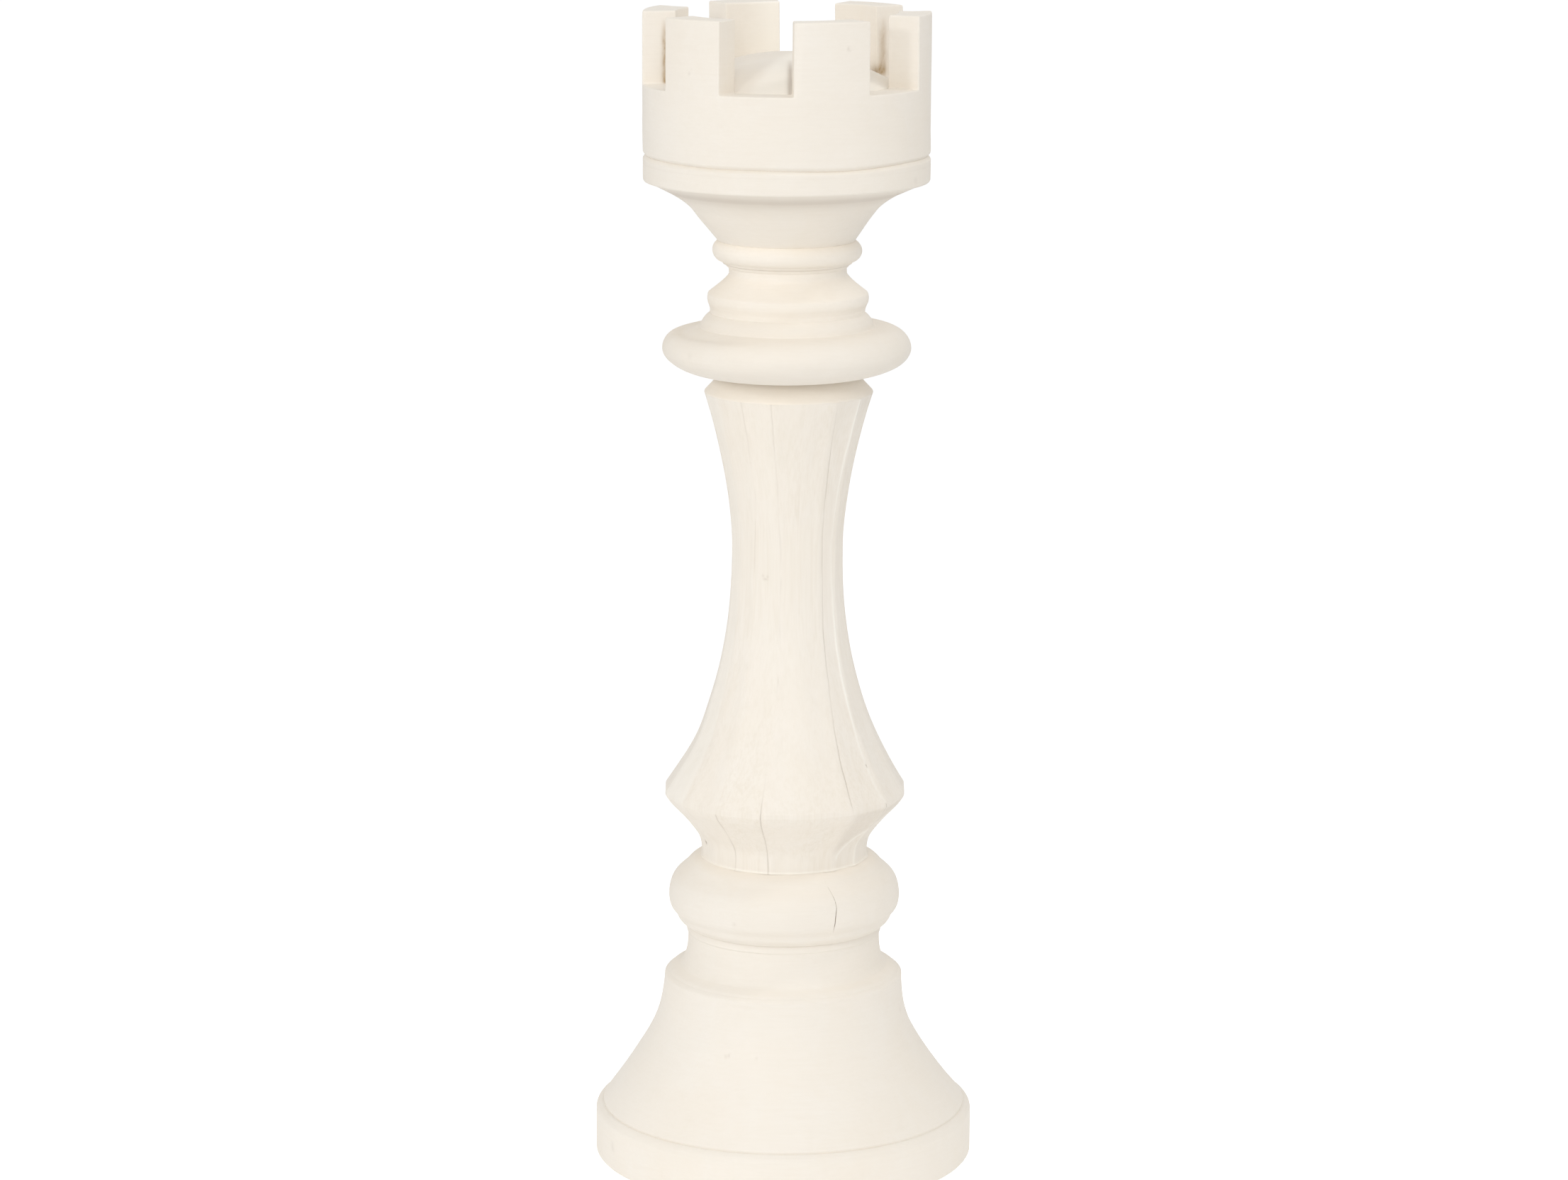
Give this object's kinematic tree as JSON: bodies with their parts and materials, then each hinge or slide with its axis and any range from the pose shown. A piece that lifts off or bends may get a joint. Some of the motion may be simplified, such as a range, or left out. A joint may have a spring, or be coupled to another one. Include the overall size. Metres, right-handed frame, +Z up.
{
  "type": "giant chess piece",
  "caption": "Floor-standing wooden rook for a giant chess set: battlement crown, turned head, faceted staved stem and flared base, in sections that lift apart.",
  "frame": {"origin": "centre of the underside, on the floor", "axes": "+Z up along the piece's axis; -Y is the front; +X is the right-hand side seen from the front"},
  "size_m": [0.3952, 0.3952, 1.2],
  "materials": {
    "cream_paint": "matte cream paint, brushed thinly over wood; grain and glue lines show through",
    "beech_dowel": "bare planed hardwood",
    "raw_pine": "bare sawn softwood",
    "plywood": "bare plywood",
    "zinc_steel": "zinc-plated, satin",
    "rubber_pad": "matte"
  },
  "bodies": {
    "base": {"base_collar": "cream_paint", "base_bell": "cream_paint", "base_plinth": "cream_paint", "base_board": "plywood", "base_pad": "rubber_pad", "plinth_dowel_1": "beech_dowel", "plinth_dowel_2": "beech_dowel", "plinth_dowel_3": "beech_dowel", "plinth_dowel_4": "beech_dowel", "base_screw_1": "zinc_steel", "base_screw_2": "zinc_steel", "base_screw_3": "zinc_steel", "base_screw_4": "zinc_steel", "base_screw_5": "zinc_steel", "base_screw_6": "zinc_steel"},
    "foot_pin": {"foot_dowel": "beech_dowel"},
    "stem": {"lower_torus": "cream_paint", "stem_bottom_plug": "raw_pine", "stem_top_plug": "raw_pine", "stem_cap": "cream_paint", "stem_stave_01": "cream_paint", "stem_stave_02": "cream_paint", "stem_stave_03": "cream_paint", "stem_stave_04": "cream_paint", "stem_stave_05": "cream_paint", "stem_stave_06": "cream_paint", "stem_stave_07": "cream_paint", "stem_stave_08": "cream_paint", "stem_stave_09": "cream_paint", "stem_stave_10": "cream_paint", "stem_stave_11": "cream_paint", "stem_stave_12": "cream_paint", "stem_stave_13": "cream_paint", "stem_stave_14": "cream_paint", "stem_stave_15": "cream_paint", "stem_stave_16": "cream_paint"},
    "neck_pin": {"neck_dowel": "beech_dowel"},
    "head": {"head_collar": "cream_paint", "neck_knob": "cream_paint", "neck_bead": "cream_paint", "capital_bell": "cream_paint", "capital_flange": "cream_paint", "crown": "cream_paint", "crown_dome": "cream_paint", "head_core": "beech_dowel", "collar_dowel_1": "beech_dowel", "collar_dowel_2": "beech_dowel", "crown_dowel_1": "beech_dowel", "crown_dowel_2": "beech_dowel", "crown_dowel_3": "beech_dowel", "crown_dowel_4": "beech_dowel"}
  },
  "joints": [
    {"name": "stem_turn", "type": "hinge", "parent": "base", "child": "foot_pin", "pos_m": [0, 0, 0.2504], "axis": [0, 0, 1], "continuous": true},
    {"name": "stem_lift", "type": "slide", "parent": "foot_pin", "child": "stem", "axis": [0, 0, 1], "range_m": [0, 0.1]},
    {"name": "head_turn", "type": "hinge", "parent": "stem", "child": "neck_pin", "pos_m": [0, 0, 0.829], "axis": [0, 0, 1], "continuous": true},
    {"name": "head_lift", "type": "slide", "parent": "neck_pin", "child": "head", "axis": [0, 0, 1], "range_m": [0, 0.1]}
  ]
}
